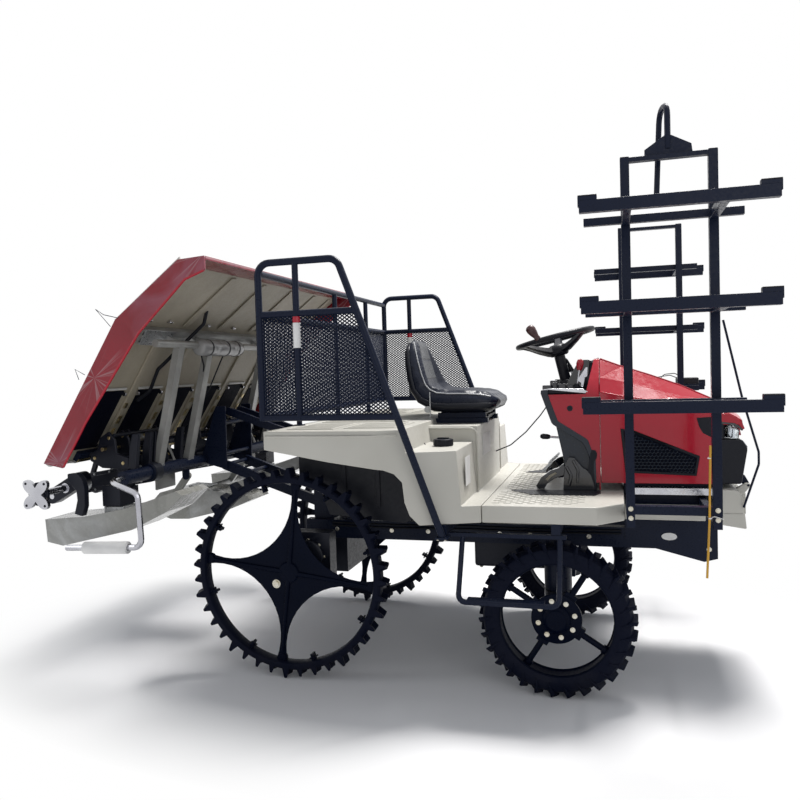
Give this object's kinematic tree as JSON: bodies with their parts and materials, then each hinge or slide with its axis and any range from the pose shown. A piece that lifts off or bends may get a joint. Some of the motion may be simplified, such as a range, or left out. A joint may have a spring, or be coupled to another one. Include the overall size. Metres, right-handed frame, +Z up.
{
  "type": "six-row riding rice transplanter",
  "caption": "Riding rice transplanter with thin lugged paddy wheels, seedling racks beside the hood, railed rear deck and a raised six-row planting unit behind.",
  "frame": {"origin": "centre of the machine's plan box at the ground, between the wheels' lowest lugs", "axes": "+X forward, +Y to the machine's left, +Z up"},
  "size_m": [3.1067, 2.16, 2.3098],
  "materials": {
    "black_paint": "satin dark paint",
    "black_plastic": "black moulded",
    "black_vinyl": "black vinyl",
    "bright_steel": "bright plated",
    "grey_casting": "grey cast",
    "grey_plastic": "grey beige moulded",
    "ivory_plastic": "ivory moulded",
    "lamp_glass": "clear lens",
    "red_paint": "glossy red",
    "tyre": "worn black rubber"
  },
  "bodies": {
    "chassis": {"cowl": "red_paint", "cowl_base": "black_plastic", "dash": "black_plastic", "engine": "grey_casting", "floor": "ivory_plastic", "frame": "black_paint", "front_axle": "black_paint", "front_marker": "black_paint", "guard_left": "black_paint", "guard_rear": "black_paint", "guard_right": "black_paint", "nose_panel": "ivory_plastic", "rack_left": "black_paint", "rack_right": "black_paint", "rear_axle": "black_paint", "rear_body": "ivory_plastic", "seat": "black_vinyl", "seat_mount": "black_paint", "shelf_1_left": "black_paint", "shelf_1_right": "black_paint", "shelf_2_left": "black_paint", "shelf_2_right": "black_paint", "shelf_3_left": "black_paint", "shelf_3_right": "black_paint", "side_step_left": "black_paint", "side_step_right": "black_paint", "steering_column": "black_plastic", "tank_cap": "black_plastic", "transmission": "grey_casting"},
    "rear_wheel_right": {"rear_wheel_right": "tyre"},
    "rear_wheel_left": {"rear_wheel_left": "tyre"},
    "front_wheel_right": {"front_wheel_right": "tyre"},
    "front_wheel_left": {"front_wheel_left": "tyre"},
    "knuckle_right": {"knuckle_right": "black_paint"},
    "knuckle_left": {"knuckle_left": "black_paint"},
    "steering_wheel": {"steering_wheel": "black_plastic"},
    "hood": {"headlamp_left": "lamp_glass", "headlamp_right": "lamp_glass", "hood": "red_paint", "hood_front_box": "black_plastic"},
    "lower_links": {"lower_links": "black_paint"},
    "upper_links": {"upper_links": "black_paint"},
    "lift_cylinder": {"lift_cylinder": "black_paint"},
    "lift_rod": {"lift_rod": "bright_steel"},
    "planting_unit": {"end_guard_left": "bright_steel", "end_guard_right": "bright_steel", "floats": "ivory_plastic", "planting_frame": "black_paint"},
    "platform": {"platform": "grey_plastic", "platform_cover_left": "red_paint", "platform_cover_right": "red_paint", "platform_top": "red_paint"},
    "planting_rotor_right": {"planting_rotor_right": "bright_steel"},
    "planting_rotor_middle": {"planting_rotor_middle": "bright_steel"},
    "planting_rotor_left": {"planting_rotor_left": "bright_steel"}
  },
  "joints": [
    {"name": "rear_wheel_right_spin", "type": "hinge", "parent": "chassis", "child": "rear_wheel_right", "pos_m": [-0.43564, -0.604, 0.477], "axis": [0, 1, 0], "continuous": true},
    {"name": "rear_wheel_left_spin", "type": "hinge", "parent": "chassis", "child": "rear_wheel_left", "pos_m": [-0.43564, 0.604, 0.477], "axis": [0, 1, 0], "continuous": true},
    {"name": "steering_wheel_turn", "type": "hinge", "parent": "chassis", "child": "steering_wheel", "pos_m": [0.71936, 0, 1.497], "axis": [-0.223, 0, 0.9748], "range_deg": [-380, 380]},
    {"name": "knuckle_right_turn", "type": "hinge", "parent": "chassis", "child": "knuckle_right", "pos_m": [0.73936, -0.398, 0.325], "axis": [0, 0, 1], "range_deg": [-38, 38]},
    {"name": "knuckle_left_turn", "type": "hinge", "parent": "chassis", "child": "knuckle_left", "pos_m": [0.73936, 0.398, 0.325], "axis": [0, 0, 1], "range_deg": [-38, 38]},
    {"name": "front_wheel_right_spin", "type": "hinge", "parent": "knuckle_right", "child": "front_wheel_right", "pos_m": [0.73936, -0.573, 0.325], "axis": [0, 1, 0], "continuous": true},
    {"name": "front_wheel_left_spin", "type": "hinge", "parent": "knuckle_left", "child": "front_wheel_left", "pos_m": [0.73936, 0.573, 0.325], "axis": [0, 1, 0], "continuous": true},
    {"name": "hood_tilt", "type": "hinge", "parent": "chassis", "child": "hood", "pos_m": [1.52236, 0, 0.838], "axis": [0, 1, 0], "range_deg": [0, 55]},
    {"name": "lift_lower", "type": "hinge", "parent": "chassis", "child": "lower_links", "pos_m": [-0.41564, 0, 0.7], "axis": [0, -1, 0], "range_deg": [0, 54]},
    {"name": "lift_upper", "type": "hinge", "parent": "chassis", "child": "upper_links", "pos_m": [-0.41564, 0, 0.98], "axis": [0, -1, 0], "range_deg": [0, 54]},
    {"name": "unit_pivot", "type": "hinge", "parent": "lower_links", "child": "planting_unit", "pos_m": [-0.98564, 0, 0.9], "axis": [0, -1, 0], "range_deg": [-54, 0]},
    {"name": "lift_cylinder_pivot", "type": "hinge", "parent": "chassis", "child": "lift_cylinder", "pos_m": [0.06436, 0, 0.82], "axis": [0, -1, 0], "range_deg": [0, 3.88]},
    {"name": "lift_rod_slide", "type": "slide", "parent": "lift_cylinder", "child": "lift_rod", "axis": [-0.9957, 0, 0.0926], "range_m": [0, 0.14855]},
    {"name": "platform_shift", "type": "slide", "parent": "planting_unit", "child": "platform", "axis": [0, 1, 0], "range_m": [-0.14, 0.14]},
    {"name": "planting_rotor_middle_spin", "type": "hinge", "parent": "planting_unit", "child": "planting_rotor_middle", "pos_m": [-1.44564, 0, 0.875], "axis": [0, 1, 0], "continuous": true},
    {"name": "planting_rotor_right_spin", "type": "hinge", "parent": "planting_unit", "child": "planting_rotor_right", "pos_m": [-1.44564, -0.6, 0.875], "axis": [0, 1, 0], "continuous": true},
    {"name": "planting_rotor_left_spin", "type": "hinge", "parent": "planting_unit", "child": "planting_rotor_left", "pos_m": [-1.44564, 0.6, 0.875], "axis": [0, 1, 0], "continuous": true}
  ],
  "couplings": [
    {"joint": "knuckle_right_turn", "follows": "steering_wheel_turn", "ratio": 0.1},
    {"joint": "knuckle_left_turn", "follows": "steering_wheel_turn", "ratio": 0.1},
    {"joint": "lift_upper", "follows": "lift_lower", "ratio": 1},
    {"joint": "unit_pivot", "follows": "lift_lower", "ratio": -1},
    {"joint": "lift_cylinder_pivot", "follows": "lift_lower", "ratio": 0.0719},
    {"joint": "lift_rod_slide", "follows": "lift_lower", "m_per_rad": 0.1574},
    {"joint": "planting_rotor_right_spin", "follows": "planting_rotor_middle_spin", "ratio": 1},
    {"joint": "planting_rotor_left_spin", "follows": "planting_rotor_middle_spin", "ratio": 1}
  ]
}
